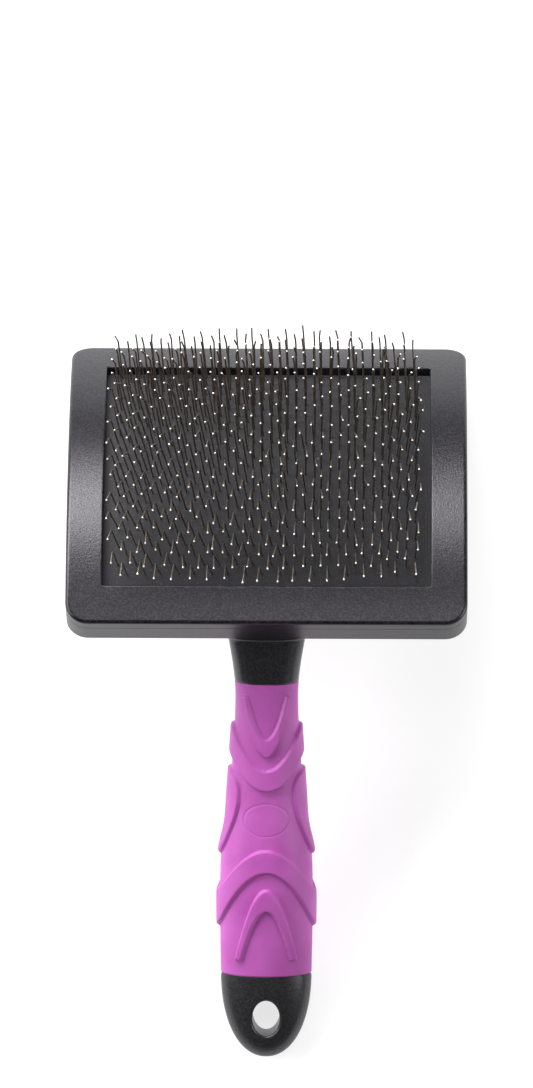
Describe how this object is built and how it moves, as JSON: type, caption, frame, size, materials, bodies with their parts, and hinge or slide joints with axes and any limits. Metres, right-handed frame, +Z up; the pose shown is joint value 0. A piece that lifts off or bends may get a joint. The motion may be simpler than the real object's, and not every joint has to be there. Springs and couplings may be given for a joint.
{
  "type": "slicker brush",
  "caption": "Large curved slicker brush: rows of fine bent wire pins on a cushioned pad in a wide arched head, with a contoured grip and a hang hole in the tail.",
  "frame": {"origin": "middle of the underside of the bounding box, where the brush rests on its tail and the back of its head", "axes": "+Y from the tail to the far end of the head, +X across the head, +Z up, out of the pin field"},
  "size_m": [0.112, 0.205, 0.0772],
  "materials": {
    "shell": "satin, finely textured",
    "frame": "satin, finely textured",
    "grip": "matte",
    "facing": "matte",
    "foam": "matte",
    "pins": "satin"
  },
  "bodies": {
    "root": {"handle_body": "shell", "bezel_frame": "frame", "grip_sleeve": "grip", "rubber_facing": "facing", "foam_cushion": "foam", "staple_row_01": "pins", "staple_row_02": "pins", "staple_row_03": "pins", "staple_row_04": "pins", "staple_row_05": "pins", "staple_row_06": "pins", "staple_row_07": "pins", "staple_row_08": "pins", "staple_row_09": "pins", "staple_row_10": "pins", "staple_row_11": "pins", "staple_row_12": "pins", "staple_row_13": "pins", "staple_row_14": "pins", "staple_row_15": "pins", "staple_row_16": "pins", "staple_row_17": "pins", "staple_row_18": "pins", "staple_row_19": "pins", "staple_row_20": "pins", "staple_row_21": "pins", "staple_row_22": "pins", "staple_row_23": "pins", "staple_row_24": "pins", "staple_row_25": "pins", "staple_row_26": "pins", "staple_row_27": "pins", "staple_row_28": "pins"}
  },
  "joints": []
}
